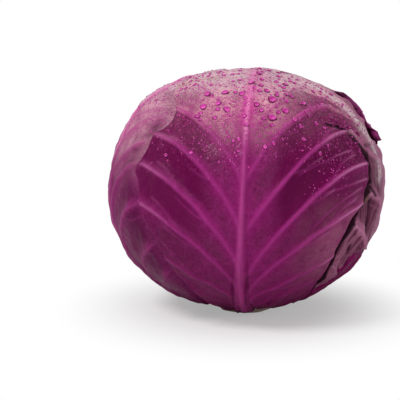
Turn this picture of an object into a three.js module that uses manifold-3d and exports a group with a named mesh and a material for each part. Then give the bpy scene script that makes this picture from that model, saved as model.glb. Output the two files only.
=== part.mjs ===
// A whole red cabbage: a packed ball of inner leaves on a cut stem, wrapped in seven outer leaves.
// Millimetres, +Z up. The origin is the centre of the stem's flat cut face, on which the head stands.
// The front leaf's midrib faces -Y, and +X is to its right.
//
// Every surface is a radius measured from the middle of the head, as a function of direction. A leaf is the
// thin shell between two such surfaces, cut to the leaf's outline. All the surfaces are sampled on the same
// set of directions, so leaves that lie over each other keep their gap everywhere.
import * as THREE from "three";
import { mergeVertices } from "three/addons/utils/BufferGeometryUtils.js";
import Module from "manifold-3d";

const wasm = await Module();
wasm.setup();

// ---- driving dimensions ----
const MIDDLE = new THREE.Vector3(0, 0, 80); // middle of the head, on the stem's axis
const POLE_RADIUS = 78.2; // middle to the crown and to the base
const EQUATOR_GAIN = 10.5; // how much wider the head is at half height
const DEPTH_LOSS = 3; // front and back are this much flatter than the sides
const SHOULDERS = [
  { gain: 6.4, spread: 0.32, towards: new THREE.Vector3(0.85, 0, 0.53).normalize() },
  { gain: 4, spread: 0.3, towards: new THREE.Vector3(-0.72, 0, 0.69).normalize() },
];

const LEAF_THICKNESS = 1.4;
const LEAF_GAP = 0.5; // air between a leaf and the next one in
const COVER_FLAT = 13; // how far beyond a leaf's edge the leaves under it stay pressed in
const COVER_RAMP = 16; // and the distance over which they come out again
const MEAN_RADIUS = 86; // turns angles on the head into millimetres

const STEM_ANGLE = 13; // half angle of the cone of stem, seen from the middle of the head
const STEM_GAP = 0.3; // between the stem and the leaf bases
const STEM_HEIGHT = 30;
const STEM_BEVEL = 0.8;

const RIB_HEIGHT = 2.2; // of a midrib above its leaf, near the stem
const RIB_HALF_BREADTH = { base: 7.8, tip: 1.3 };
const RIB_INSET = 1.0; // how deep a midrib is rooted in its leaf
const RIB_SUNK = 0.3; // how far its ends lie under the leaf's skin
const SHORTEST_RIB = 45; // degrees up from the stem; a shorter bare stretch has no rib of its own
const DIRECTION_DETAIL = 6; // fineness of the shared set of directions
const OUTLINE_STEPS = { along: 22, across: 8 };
const RIB_STEPS = { along: 18, round: 8 };

const LEAF_COLOUR = 0x741f57;
const INNER_COLOUR = 0x5e1746;
const STEM_COLOUR = 0xe2d7ae;

// The leaves from the outermost to the innermost. azimuth is the side the midrib runs up, from the front
// towards +X. left and right are the half widths where the leaf is widest, at the angle called widest, which
// is counted from the stem over the top. crown is how much narrower it is near the top, and tip is how far it
// reaches. All in degrees seen from the middle of the head.
const LEAVES = [
  { name: "front_leaf", azimuth: -3, left: 50, right: 60, widest: 108, crown: 25, tip: 178 },
  { name: "back_right_leaf", azimuth: 140, left: 55, right: 58, widest: 128, crown: 38, tip: 178 },
  { name: "left_leaf", azimuth: -80, left: 60, right: 58, widest: 112, crown: 30, tip: 172 },
  { name: "right_leaf", azimuth: 92, left: 60, right: 54, widest: 108, crown: 28, tip: 172 },
  { name: "back_left_leaf", azimuth: -150, left: 60, right: 60, widest: 110, crown: 26, tip: 184 },
  { name: "front_right_inner_leaf", azimuth: 42, left: 56, right: 58, widest: 106, crown: 24, tip: 164 },
  { name: "front_left_inner_leaf", azimuth: -38, left: 56, right: 56, widest: 106, crown: 24, tip: 160 },
];
const CORNER_LOSS = 19; // how much less the two corners of a tip reach, in degrees
const BASE_HALF_WIDTH = 10; // of every leaf where it leaves the stem, in degrees
const SWELL_POWER = 1.4; // how slowly a leaf widens from its base
const CROWN_SPAN = 46; // degrees above its widest place over which a leaf narrows

// ---- small helpers ----
const radians = (degrees) => (degrees * Math.PI) / 180;
const clamp01 = (x) => Math.min(1, Math.max(0, x));
const ease = (x) => {
  const c = clamp01(x);
  return c * c * (3 - 2 * c);
};

// Radius of the finished head in a direction.
function headRadius(d) {
  let radius = POLE_RADIUS + EQUATOR_GAIN * (1 - d.z * d.z) - DEPTH_LOSS * d.y * d.y;
  for (const shoulder of SHOULDERS) {
    const apart = (2 * (1 - d.dot(shoulder.towards))) / (shoulder.spread * shoulder.spread);
    radius += shoulder.gain * Math.exp(-apart);
  }
  return radius;
}

// ---- a leaf's own coordinates: s runs up the midrib from the stem, t runs across it ----
function leafAxes(leaf) {
  const a = radians(leaf.azimuth);
  return {
    out: new THREE.Vector3(Math.sin(a), -Math.cos(a), 0),
    across: new THREE.Vector3(Math.cos(a), Math.sin(a), 0),
  };
}

function directionAt(leaf, s, t) {
  const { out, across } = leafAxes(leaf);
  const along = out.multiplyScalar(Math.sin(s)).add(new THREE.Vector3(0, 0, -Math.cos(s)));
  return along.multiplyScalar(Math.cos(t)).addScaledVector(across, Math.sin(t));
}

function leafCoordinates(leaf, d) {
  const { out, across } = leafAxes(leaf);
  let s = Math.atan2(d.dot(out), -d.z);
  if (s < -Math.PI / 2) s += 2 * Math.PI; // past the crown
  return { s, t: Math.asin(Math.min(1, Math.max(-1, d.dot(across)))) };
}

// Half width of the leaf at s, on its left for a negative side and on its right for a positive one.
function halfWidth(leaf, s, side) {
  const swell = clamp01((s - radians(STEM_ANGLE)) / radians(leaf.widest - STEM_ANGLE));
  const crown = ease((s - radians(leaf.widest)) / radians(CROWN_SPAN));
  const widest = side < 0 ? leaf.left : leaf.right;
  const grown = Math.pow(Math.sin((swell * Math.PI) / 2), SWELL_POWER);
  return radians(BASE_HALF_WIDTH + (widest - BASE_HALF_WIDTH) * grown - leaf.crown * crown);
}

// Where the leaf starts, clasping the round stem, and where its rounded tip ends. v is -1 to 1 across it.
function baseEdge(v) {
  return Math.acos(Math.min(1, Math.cos(radians(STEM_ANGLE)) / Math.cos(v * radians(BASE_HALF_WIDTH))));
}
function tipEdge(leaf, v) {
  return radians(leaf.tip - CORNER_LOSS * (1 - Math.sqrt(1 - v * v)));
}

// How far a direction lies inside the leaf's outline, in millimetres, negative outside it.
function insideLeaf(leaf, d) {
  const { s, t } = leafCoordinates(leaf, d);
  const half = halfWidth(leaf, s, t);
  const v = Math.min(1, Math.max(-1, t / half));
  const fromSides = half - Math.abs(t);
  const fromEnds = Math.min(s - baseEdge(v), tipEdge(leaf, v) - s) * Math.cos(t);
  return MEAN_RADIUS * Math.min(fromSides, fromEnds);
}

// 1 where the leaf presses on what is under it, 0 well outside it.
function cover(leaf, d) {
  return 1 - ease((-insideLeaf(leaf, d) - COVER_FLAT) / COVER_RAMP);
}

// How far the leaf's outer surface lies below the finished head: one layer for each leaf that covers it.
function layersAbove(leafIndex, d) {
  let sum = 0;
  for (let i = 0; i < leafIndex; i++) sum += cover(LEAVES[i], d);
  return sum;
}
function leafRadius(leafIndex, d) {
  return headRadius(d) - (LEAF_THICKNESS + LEAF_GAP) * layersAbove(leafIndex, d);
}

// ---- solids ----
function solidFrom(positions, faces) {
  const mesh = new wasm.Mesh({
    numProp: 3,
    vertProperties: new Float32Array(positions.flatMap((p) => [p.x, p.y, p.z])),
    triVerts: new Uint32Array(faces.flat()),
  });
  return new wasm.Manifold(mesh);
}

// The shared directions: an evenly divided sphere.
function sharedDirections() {
  const sphere = new THREE.IcosahedronGeometry(1, DIRECTION_DETAIL);
  sphere.deleteAttribute("normal");
  sphere.deleteAttribute("uv");
  const merged = mergeVertices(sphere, 1e-4);
  const at = merged.attributes.position;
  const directions = [];
  for (let i = 0; i < at.count; i++) {
    directions.push(new THREE.Vector3().fromBufferAttribute(at, i).normalize());
  }
  const index = Array.from(merged.index.array);
  const faces = [];
  for (let i = 0; i < index.length; i += 3) faces.push(index.slice(i, i + 3));
  return { directions, faces };
}
const SHARED = sharedDirections();

// A solid ball whose radius is a function of direction, about the middle of the head.
function ball(radiusOf) {
  return solidFrom(SHARED.directions.map((d) => d.clone().multiplyScalar(radiusOf(d))), SHARED.faces);
}

// A closed block from a grid of points: layer(i, j) gives the inner and the outer point.
function blockFromGrid(rows, columns, layer) {
  const positions = [];
  for (let i = 0; i <= rows; i++) for (let j = 0; j <= columns; j++) positions.push(...layer(i, j));
  const at = (i, j, outer) => 2 * (i * (columns + 1) + j) + outer;
  const faces = [];
  const quad = (a, b, c, d) => faces.push([a, b, c], [a, c, d]);
  for (let i = 0; i < rows; i++)
    for (let j = 0; j < columns; j++) {
      quad(at(i, j, 1), at(i, j + 1, 1), at(i + 1, j + 1, 1), at(i + 1, j, 1));
      quad(at(i, j, 0), at(i + 1, j, 0), at(i + 1, j + 1, 0), at(i, j + 1, 0));
    }
  for (let j = 0; j < columns; j++) {
    quad(at(0, j, 0), at(0, j + 1, 0), at(0, j + 1, 1), at(0, j, 1));
    quad(at(rows, j, 1), at(rows, j + 1, 1), at(rows, j + 1, 0), at(rows, j, 0));
  }
  for (let i = 0; i < rows; i++) {
    quad(at(i, 0, 1), at(i + 1, 0, 1), at(i + 1, 0, 0), at(i, 0, 0));
    quad(at(i, columns, 0), at(i + 1, columns, 0), at(i + 1, columns, 1), at(i, columns, 1));
  }
  return solidFrom(positions, faces);
}

// Everything on the lines from the middle of the head through the leaf's outline.
function outlineCone(leaf) {
  const { along, across } = OUTLINE_STEPS;
  return blockFromGrid(along, across, (i, j) => {
    const v = (2 * j) / across - 1;
    const start = baseEdge(v);
    const s = start + (i / along) * (tipEdge(leaf, v) - start);
    const d = directionAt(leaf, s, v * halfWidth(leaf, s, v));
    return [d.clone().multiplyScalar(MEAN_RADIUS / 3), d.clone().multiplyScalar(MEAN_RADIUS * 1.5)];
  });
}

// How far up from the stem the leaf's middle line lies bare.
function bareReach(leaf, leafIndex) {
  const step = radians(2);
  let s = radians(STEM_ANGLE);
  const end = radians(leaf.tip - 10);
  while (s < end && layersAbove(leafIndex, directionAt(leaf, s + step, 0)) < 0.4) s += step;
  return s;
}

// The midrib: a half-round rib along the bare part of the leaf's middle line, tapering upwards and sinking
// into the leaf at both ends. Nothing where the whole line is covered.
function midrib(leaf, leafIndex) {
  const { along, round } = RIB_STEPS;
  const from = radians(STEM_ANGLE + 2);
  const to = bareReach(leaf, leafIndex);
  if (to < radians(SHORTEST_RIB)) return null;
  const positions = [];
  for (let i = 0; i <= along; i++) {
    const share = i / along;
    const s = from + share * (to - from);
    const upLeaf = (s - from) / radians(leaf.tip);
    const rise = RIB_HEIGHT * ease(share * 6) * ease((1 - share) * 4) * (1 - 0.6 * upLeaf) - RIB_SUNK;
    const { base, tip } = RIB_HALF_BREADTH;
    const halfBreadth = tip + (base - tip) * Math.pow(1 - upLeaf, 1.3);
    for (let k = 0; k < round; k++) {
      const turn = (2 * Math.PI * k) / round;
      const side = directionAt(leaf, s, (halfBreadth * Math.cos(turn)) / MEAN_RADIUS);
      const height = (rise + RIB_INSET) / 2;
      const radius = leafRadius(leafIndex, side) - RIB_INSET + height * (1 + Math.sin(turn));
      positions.push(side.multiplyScalar(radius));
    }
  }
  const faces = [];
  for (let i = 0; i < along; i++)
    for (let k = 0; k < round; k++) {
      const a = i * round + k;
      const b = i * round + ((k + 1) % round);
      faces.push([a, b + round, b], [a, a + round, b + round]);
    }
  for (let k = 1; k < round - 1; k++) {
    faces.push([0, k, k + 1]);
    const last = along * round;
    faces.push([last, last + k + 1, last + k]);
  }
  return solidFrom(positions, faces);
}

function leafSolid(leaf, leafIndex) {
  const outer = ball((d) => leafRadius(leafIndex, d));
  const inner = ball((d) => leafRadius(leafIndex, d) - LEAF_THICKNESS);
  const lamina = outer.subtract(inner).intersect(outlineCone(leaf));
  const rib = midrib(leaf, leafIndex);
  return rib ? lamina.add(rib) : lamina;
}

// The cone in which the stem stands, closed by a flat top, as a solid of revolution about the stem's axis.
function stemCone(gap, top, bottom, bevel) {
  const slope = Math.tan(radians(STEM_ANGLE));
  const radiusAt = (z) => (MIDDLE.z - z) * slope - gap;
  const profile = [
    new THREE.Vector2(0, bottom),
    new THREE.Vector2(radiusAt(bottom) - bevel, bottom),
    new THREE.Vector2(radiusAt(bottom + bevel), bottom + bevel),
    new THREE.Vector2(radiusAt(top), top),
    new THREE.Vector2(0, top),
  ];
  return new THREE.LatheGeometry(profile, 32).rotateX(Math.PI / 2);
}

// A three.js geometry as a solid, moved by the given vector.
function solidOf(geometry, move) {
  const bare = geometry.clone().translate(move.x, move.y, move.z);
  bare.deleteAttribute("normal");
  bare.deleteAttribute("uv");
  const merged = mergeVertices(bare, 1e-4);
  return new wasm.Manifold(
    new wasm.Mesh({
      numProp: 3,
      vertProperties: merged.attributes.position.array,
      triVerts: new Uint32Array(merged.index.array),
    }),
  );
}

function geometryOf(solid) {
  const { vertProperties, triVerts, numProp } = solid.getMesh();
  const at = new Float32Array((vertProperties.length / numProp) * 3);
  for (let i = 0; i < at.length / 3; i++) {
    at.set(vertProperties.subarray(i * numProp, i * numProp + 3), 3 * i);
  }
  const geometry = new THREE.BufferGeometry();
  geometry.setAttribute("position", new THREE.BufferAttribute(at, 3));
  geometry.setIndex(new THREE.BufferAttribute(triVerts, 1));
  geometry.computeVertexNormals();
  return geometry;
}

function innerHeadSolid() {
  const packed = ball((d) => leafRadius(LEAVES.length, d) - LEAF_GAP);
  const socket = solidOf(
    stemCone(-STEM_GAP, STEM_HEIGHT + STEM_GAP, -STEM_HEIGHT, 0),
    new THREE.Vector3(0, 0, -MIDDLE.z),
  );
  return packed.subtract(socket);
}

// ---- the assembly ----
function named(name, geometry, color, roughness) {
  const mesh = new THREE.Mesh(geometry, new THREE.MeshStandardMaterial({ color, roughness, metalness: 0 }));
  mesh.name = name;
  return mesh;
}

// The head is modelled about its own middle and then lifted onto the stem.
const head = new THREE.Group();
head.position.copy(MIDDLE);
head.add(named("inner_head", geometryOf(innerHeadSolid()), INNER_COLOUR, 0.6));
LEAVES.forEach((leaf, i) => {
  head.add(named(leaf.name, geometryOf(leafSolid(leaf, i)), LEAF_COLOUR, 0.5));
});

const cabbage = new THREE.Group();
cabbage.add(head);
cabbage.add(named("cut_stem", stemCone(STEM_GAP, STEM_HEIGHT, 0, STEM_BEVEL), STEM_COLOUR, 0.7));

export default cabbage;
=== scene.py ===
"""A whole red cabbage on its cut stem: outer leaves with ribs, veins, folds and bloom, and water drops.

Metres, +Z up, the front leaf's midrib faces -Y. Shapes are worked out in millimetres and degrees, as a
radius from the middle of the head in each direction, and become metres when a mesh is made. A place on a
leaf is (s, t): s degrees up its midrib from the stem and t degrees across it, positive to the right.
"""
import math

import bpy
import numpy as np
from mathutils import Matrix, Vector


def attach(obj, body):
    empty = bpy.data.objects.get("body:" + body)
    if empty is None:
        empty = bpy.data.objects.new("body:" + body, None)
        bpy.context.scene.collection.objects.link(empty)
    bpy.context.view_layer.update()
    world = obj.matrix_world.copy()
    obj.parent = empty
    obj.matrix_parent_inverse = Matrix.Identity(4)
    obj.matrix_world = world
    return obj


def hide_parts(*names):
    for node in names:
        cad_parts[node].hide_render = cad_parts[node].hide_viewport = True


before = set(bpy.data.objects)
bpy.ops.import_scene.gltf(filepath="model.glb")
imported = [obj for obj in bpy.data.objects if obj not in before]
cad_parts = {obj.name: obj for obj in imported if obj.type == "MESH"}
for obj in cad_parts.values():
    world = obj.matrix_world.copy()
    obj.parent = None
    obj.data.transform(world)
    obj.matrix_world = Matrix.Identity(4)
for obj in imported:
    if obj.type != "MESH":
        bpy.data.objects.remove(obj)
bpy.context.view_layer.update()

# ---------------------------------------------------------------- the head and its leaves, as in the solids
MIDDLE = np.array([0.0, 0.0, 80.0])  # middle of the head
POLE_RADIUS = 78.2  # middle to the crown and to the base
EQUATOR_GAIN = 10.5  # how much wider the head is at half height
DEPTH_LOSS = 3.0  # front and back are this much flatter than the sides
SHOULDERS = (  # gain, spread, towards
    (3.6, 0.34, (0.85, 0.0, 0.53)),
    (4.0, 0.30, (-0.72, 0.0, 0.69)),
)
MEAN_RADIUS = 86.0  # turns angles on the head into millimetres
STEM_ANGLE = 13.0  # half angle of the cone of stem, seen from the middle of the head
BASE_HALF_WIDTH = 10.0  # of every leaf where it leaves the stem
SWELL_POWER = 1.4  # how slowly a leaf widens at first
CROWN_SPAN = 46.0  # degrees over which a leaf narrows past its widest place
CORNER_LOSS = 19.0  # how much sooner a leaf ends at its corners than at its tip

# From the outermost to the innermost. pitch is how far a leaf lifts its outside over the leaf under it,
# press how far beyond the edge of the leaf above it this one stays pressed in, over what distance it comes
# out again, how many times deeper than needed it is tucked and from what depth it is painted dark as shade,
# flare how far its left, right and tip edges curl out, ragged how uneven its outline is, and bloom the
# heights between which its pale bloom sets in. grid is how many points it has up and across, and finer the
# two places between which the given share of them lies, across the leaf or up it.
LEAVES = [
    dict(name="front_leaf", azimuth=-3, left=50, right=60, widest=108, crown=25, tip=178, pitch=4.6,
         press=(2, 13, 1, 1.9), flare=(0.9, 0.3, 0.3), ragged=0.7, bloom=(106, 146), grid=(250, 178),
         finer=(0.1, 1.0, 0.6)),
    dict(name="back_right_leaf", azimuth=140, left=60, right=58, widest=128, crown=40, tip=178, pitch=2.6,
         press=(0.2, 2, 1, 9.0), flare=(1.0, 0.8, 0.3), ragged=0.8, bloom=(60, 140), grid=(230, 150),
         finer=(-1.0, -0.6, 0.36), finer_up=(0.74, 0.98, 0.5)),
    dict(name="left_leaf", azimuth=-80, left=60, right=58, widest=112, crown=30, tip=172, pitch=2.4,
         press=(1.2, 12, 1, 9.0), flare=(0.8, 0.3, 0.3), ragged=1.0, bloom=(80, 135), grid=(180, 150)),
    dict(name="right_leaf", azimuth=92, left=60, right=54, widest=108, crown=28, tip=172, pitch=2.4,
         press=(0.5, 2.4, 1.0, 0.4), flare=(0.3, 0.6, 0.3), ragged=1.4, bloom=(88, 140), grid=(260, 180),
         finer=(-0.95, 0.05, 0.84), finer_up=(0.26, 0.8, 0.62)),
    dict(name="back_left_leaf", azimuth=-150, left=60, right=60, widest=110, crown=26, tip=184, pitch=2.2,
         press=(2, 13, 1, 1.9), flare=(0.8, 0.8, 0.2), ragged=1.0, bloom=(60, 140), grid=(140, 110)),
    dict(name="front_right_inner_leaf", azimuth=42, left=56, right=58, widest=106, crown=24, tip=164,
         pitch=2.0, press=(1, 4, 1, 1.2), flare=(0.3, 0.3, 0.2), ragged=0.6, bloom=(90, 150),
         grid=(150, 130)),
    dict(name="front_left_inner_leaf", azimuth=-38, left=56, right=56, widest=106, crown=24, tip=160,
         pitch=2.0, press=(2, 13, 1, 1.9), flare=(0.3, 0.3, 0.2), ragged=0.6, bloom=(90, 150),
         grid=(110, 90)),
]
DEEP_INSIDE = 2.6  # further drop of a leaf well inside the edge of the one above it
# How much further beside the front leaf the right leaf stays pressed in, at angles up the front leaf.
DEEP_STRETCH = ((58, 0.0), (72, 1.4), (84, 2.6), (96, 2.2), (108, 2.5), (120, 3.6), (132, 4.2))
LEAF_THICKNESS = 0.9
EDGE_THICKNESS = 0.3
SEAM = 0.64  # share of the right leaf's half width at which the front leaf's edge runs over it


def ease(x):
    """Smooth step from 0 to 1."""
    c = np.clip(x, 0.0, 1.0)
    return c * c * (3.0 - 2.0 * c)


def ramp(x, start, end):
    """Smooth step of x, 0 at start and 1 at end, which may be the lower of the two."""
    return ease((x - start) / (end - start))


def bell(x, breadth):
    """1 where x is 0, falling off as a bell curve."""
    return np.exp(-((x / breadth) ** 2))


def span(angle):
    """How many millimetres of the head an angle in degrees covers."""
    return np.radians(angle) * MEAN_RADIUS


def rising(root, rise, reach, bend):
    """A side vein's line, as (s, t): it leaves the midrib at root, and on its way out to reach it climbs by
    rise, as the share of the way across raised to bend."""
    share = np.array([0.0, 0.06, 0.2, 0.42, 0.7, 1.0])
    return np.stack([root + rise * share**bend, 1.0 + (reach - 1.0) * share], -1)


def bowed(start, end, bow=0.0):
    """A line from one place on a leaf to another that bows out sideways as a parabola, by bow degrees at its
    middle."""
    start, end = np.array(start, float), np.array(end, float)
    share = np.linspace(0.0, 1.0, 5)[:, None]
    aside = np.array([start[1] - end[1], end[0] - start[0]]) / np.linalg.norm(end - start)
    return start + (end - start) * share + aside * bow * 4.0 * share * (1.0 - share)


# Edges that follow a line of their own: leaf, side, and angles up the leaf with the width there. The front
# leaf is wide again over the right shoulder, and the back right leaf's edge stands just behind that.
OWN_EDGES = {
    ("front_leaf", -1): (
        (13, 10), (20, 12), (40, 22), (60, 34), (80, 44), (108, 50), (124, 44), (135, 32), (140, 30),
        (160, 33), (178, 24)),
    ("front_leaf", 1): (
        (13, 10), (20, 19), (28, 26), (44, 33), (62, 40), (80, 47), (88, 54), (106, 60), (120, 58),
        (134, 52), (149, 61), (163, 50), (178, 36)),
    ("right_leaf", -1): (
        (13, 10), (24, 30), (36, 42), (55, 53), (80, 58), (108, 60), (120, 55), (140, 38), (154, 32),
        (172, 32)),
    ("left_leaf", 1): (
        (13, 10), (24, 30), (36, 42), (55, 53), (80, 57), (112, 58), (120, 55), (140, 38), (156, 28),
        (172, 28)),
    ("back_right_leaf", -1): (
        (13, 10), (20, 19), (40, 36), (60, 44), (80, 46), (116, 47), (124, 51), (131, 57), (140, 51),
        (150, 39), (160, 26), (170, 20), (178, 20)),
}
SHOULDER_PITCH = 0.14  # share of its pitch that the front leaf keeps over the shoulder, where it hugs
# How far the back right leaf's left edge stands up, in millimetres, at angles up the leaf: two lobes.
LIFTED_EDGE = ((60, 0.2), (126, 0.2), (130, 5.5), (135, 4), (141, 1.5), (148, 3.6), (152, 3), (154, 0.2))

# ---------------------------------------------------------------- veins, folds, creases and tears
# Side veins from the lowest: strength, depth of the fold above the vein, and the vein's line.
FRONT_RIGHT_VEINS = (
    (0.60, 0.5, rising(27, 20, 30, 0.45)),
    (0.80, 0.9, rising(34, 26, 39, 0.35)),
    (0.95, 1.3, rising(46, 44, 58, 0.5)),
    (1.00, 3.4, rising(60, 58, 58, 0.7)),
    (1.15, 4.2, rising(82, 55, 48, 0.9)),
    (0.95, 1.6, rising(102, 48, 38, 0.85)),
    (0.40, 0.7, rising(115, 40, 24, 0.85)),
)
FRONT_LEFT_VEINS = (
    (0.40, 0.6, rising(25, 19, 27, 0.5)),
    (0.60, 0.9, rising(33, 29, 37, 0.4)),
    (0.85, 1.5, rising(44, 46, 47, 0.5)),
    (1.00, 2.4, rising(60, 52, 46, 0.6)),
    (1.00, 2.6, rising(79, 51, 42, 0.65)),
    (0.70, 1.2, rising(99, 41, 30, 0.7)),
    (0.40, 0.6, rising(117, 39, 22, 0.85)),
)
# Short veins that cross a fold of the front leaf to its right edge.
FRONT_RIGHT_BRANCHES = (
    (0.45, bowed((96, 33), (106, 58), 1)),
    (0.35, bowed((104, 22), (124, 50), 1)),
    (0.30, bowed((80, 28), (99, 55), -1)),
)
FRONT_MIDRIB = ((14, 0), (40, -1.5), (64, -2), (90, -1), (116, 0), (134, 1), (150, 3), (178, 5))
# Creases pressed into a leaf, and ridges that stand up from it: height and breadth in millimetres, and the
# line. The front leaf's run along the notch over its right shoulder and beside the foot of its midrib, the
# right leaf's beside the front leaf.
FRONT_CREASES = (
    (1.7, 1.6, bowed((138, 33), (139, 56), -3.5)),
    (-0.6, 0.9, bowed((64, 2), (34, 1), 1)),
)
RIGHT_CREASES = (
    (-2.2, 1.4, bowed((104, -34), (90, -29), 1)),
    (-2.4, 1.8, bowed((91, -33), (70, -29), 1)),
    (-2.0, 1.0, bowed((66, -39), (59, -36))),
    (1.3, 1.3, bowed((64, -41), (39, -32), 3)),
    (-0.6, 3.2, bowed((67, -34), (61, -28), -2)),
    (1.2, 1.6, bowed((120, -30), (104, -31), 1)),
    (0.9, 1.2, bowed((120, -29), (117, -16), 1)),
    (1.2, 1.4, bowed((88, -31), (77, -24), -2)),
    (1.0, 1.4, bowed((88, -38), (79, -38))),
    (1.2, 1.3, bowed((78, -41), (70, -41))),
    (1.1, 1.5, bowed((78, -37), (66, -32), 1)),
)
# Where a leaf is torn away: the outline of what is missing.
TEARS = {  # roughness, outline
    "front_leaf": (0.2, ((135, 36), (136, 41), (132, 50), (129, 54), (129, 61), (134, 61), (139, 50),
                         (140, 44), (137, 37))),
    "right_leaf": (0.9, ((31, -52), (32, -40), (38, -30), (46, -29), (50, -36), (53, -33), (62, -33),
                         (66, -16), (60, -6), (44, -3), (30, -3), (18, -8), (18, -52))),
}
# Lines of frosty wax and of olive stain on the leaves.
WAX_LINES = {
    "left_leaf": bowed((130, -6), (146, 4)),
    "right_leaf": bowed((120, -18), (98, -20)),
    "front_leaf": bowed((164, 25), (149, 58), -4),
}
OLIVE_LINES = {
    "right_leaf": bowed((110, -31), (90, -37)),
    "front_leaf": bowed((161, -33), (161, -13), -1),
}


def unit(v):
    return v / np.linalg.norm(v, axis=-1, keepdims=True)


def raise_mark(marks, mark, values):
    """Lays values over a mark, keeping the larger of the two at each point."""
    marks[mark] = np.maximum(marks[mark], values)


def waves(points, size, seed, count=18):
    """A smooth random field of about unit height: a sum of cosine waves in random directions, whose lengths
    are spread round `size`. points is an array whose last axis holds the coordinates."""
    rng = np.random.default_rng(seed)
    heading = unit(rng.normal(size=(count, points.shape[-1])))
    pace = 2.0 * np.pi / (size * rng.uniform(0.7, 1.6, count))
    shift = rng.uniform(0.0, 2.0 * np.pi, count)
    total = np.zeros(points.shape[:-1])
    for k in range(count):
        total += np.cos(points @ (heading[k] * pace[k]) + shift[k])
    return total / math.sqrt(count / 2.0)


def head_radius(d):
    """Radius of the head in each direction: a ball, wider round its middle, flatter front and back, with
    two soft shoulders."""
    radius = POLE_RADIUS + EQUATOR_GAIN * (1.0 - d[..., 2] ** 2) - DEPTH_LOSS * d[..., 1] ** 2
    for gain, spread, towards in SHOULDERS:
        apart = 2.0 * (1.0 - d @ unit(np.array(towards)))
        radius = radius + gain * np.exp(-apart / spread**2)
    return radius


def leaf_axes(leaf):
    a = math.radians(leaf["azimuth"])
    out = np.array([math.sin(a), -math.cos(a), 0.0])
    across = np.array([math.cos(a), math.sin(a), 0.0])
    return out, across


def direction_at(leaf, s, t):
    """The direction s degrees up the leaf's midrib from the stem and t degrees across it."""
    out, across = leaf_axes(leaf)
    s, t = np.radians(s)[..., None], np.radians(t)[..., None]
    along = np.sin(s) * out - np.cos(s) * np.array([0.0, 0.0, 1.0])
    return np.cos(t) * along + np.sin(t) * across


def leaf_coordinates(leaf, d):
    """The inverse of direction_at."""
    out, across = leaf_axes(leaf)
    s = np.degrees(np.arctan2(d @ out, -d[..., 2]))
    s = np.where(s < -90.0, s + 360.0, s)
    return s, np.degrees(np.arcsin(np.clip(d @ across, -1.0, 1.0)))


def half_width(leaf, s, side):
    """The leaf swells from its base to its widest place along a quarter sine, and narrows near the top."""
    swell = np.clip((s - STEM_ANGLE) / (leaf["widest"] - STEM_ANGLE), 0.0, 1.0)
    grown = np.sin(swell * np.pi / 2.0) ** SWELL_POWER
    widest = np.where(side < 0, leaf["left"], leaf["right"])
    narrowed = leaf["crown"] * ease((s - leaf["widest"]) / CROWN_SPAN)
    half = BASE_HALF_WIDTH + (widest - BASE_HALF_WIDTH) * grown - narrowed
    for (name, own_side), points in OWN_EDGES.items():
        if name == leaf["name"]:
            half = np.where(own_side * side > 0, read_line(smooth_line(points, 181, 4), s), half)
    return half


def base_edge(v):
    """Where the leaf starts, clasping the round stem."""
    ratio = math.cos(math.radians(STEM_ANGLE)) / np.cos(np.radians(v * BASE_HALF_WIDTH))
    return np.degrees(np.arccos(np.minimum(1.0, ratio)))


def tip_edge(leaf, v):
    return leaf["tip"] - CORNER_LOSS * (1.0 - np.sqrt(1.0 - v**2))


def inside_leaf(leaf, d):
    """How far a direction lies inside the leaf's plain outline, in millimetres, negative outside it."""
    s, t = leaf_coordinates(leaf, d)
    half = half_width(leaf, s, t)
    v = np.clip(t / half, -1.0, 1.0)
    from_ends = np.minimum(s - base_edge(v), tip_edge(leaf, v) - s) * np.cos(np.radians(t))
    return span(np.minimum(half - np.abs(t), from_ends))


def sunk(index, d):
    """How far the leaf's outside lies below the head's surface under the leaves outside it, how bare it is
    there, 0 to 1, and how much painted shade it takes beside the front leaf's edge, 1 nearly up to where
    it has risen again."""
    flat, release, tuck, _ = LEAVES[index]["press"] if index < len(LEAVES) else (2, 13, 1, 0)
    depth, bare, front_shade = np.zeros(d.shape[:-1]), np.ones(d.shape[:-1]), np.zeros(d.shape[:-1])
    for above in LEAVES[:index]:
        s, t = leaf_coordinates(above, d)
        deep = above is LEAVES[0] and index < len(LEAVES) and LEAVES[index]["name"] == "right_leaf"
        stretch = read_line(DEEP_STRETCH, s) if deep else 0.0
        inside = inside_leaf(above, d)
        if above["name"] in TEARS:
            inside = np.minimum(inside, span(torn(above, s, t)))
        rise = release + 0.45 * stretch
        over = 1.0 - ease((-inside - flat - stretch) / rise)
        pitch = tuck * above["pitch"] * over + DEEP_INSIDE * ramp(inside, 6.0, 20.0)
        if above is LEAVES[0]:
            shoulder = s + 0.8 * (t - 50.0)
            flush = ramp(shoulder, 132.5, 135.0) * ramp(t, 46.0, 51.0)
            flush = np.maximum(flush, ramp(s, 155.0, 161.0) * ramp(t, 14.0, 24.0))
            pitch = pitch * (1.0 - (1.0 - SHOULDER_PITCH) * flush * ramp(inside, 7.0, 1.0))
            # Painted shade in the crevice beside the front leaf's edge, where the right leaf dips under it.
            front_shade = 1.0 - ease((-inside - flat - stretch - 0.75 * rise) / 1.3)
            front_shade = front_shade * (1.0 - ramp(shoulder, 134.5, 137.5) * ramp(t, 46.0, 51.0))
        depth += pitch
        bare *= 1.0 - over
    return depth, bare, front_shade


def smooth_line(points, count=61, passes=8):
    """A line through a few places on a leaf: resampled evenly, and its corners rounded by a running mean."""
    points = np.array(points, float)
    run = np.concatenate([[0.0], np.cumsum(np.linalg.norm(np.diff(points, axis=0), axis=1))])
    even = np.linspace(0.0, run[-1], count)
    line = np.stack([np.interp(even, run, points[:, k]) for k in (0, 1)], -1)
    for _ in range(passes):
        line[1:-1] = 0.25 * line[:-2] + 0.5 * line[1:-1] + 0.25 * line[2:]
    return line


def read_line(line, s):
    """The second number of a line's places where the first is s."""
    return np.interp(s, *np.array(line, float).T)


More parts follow.
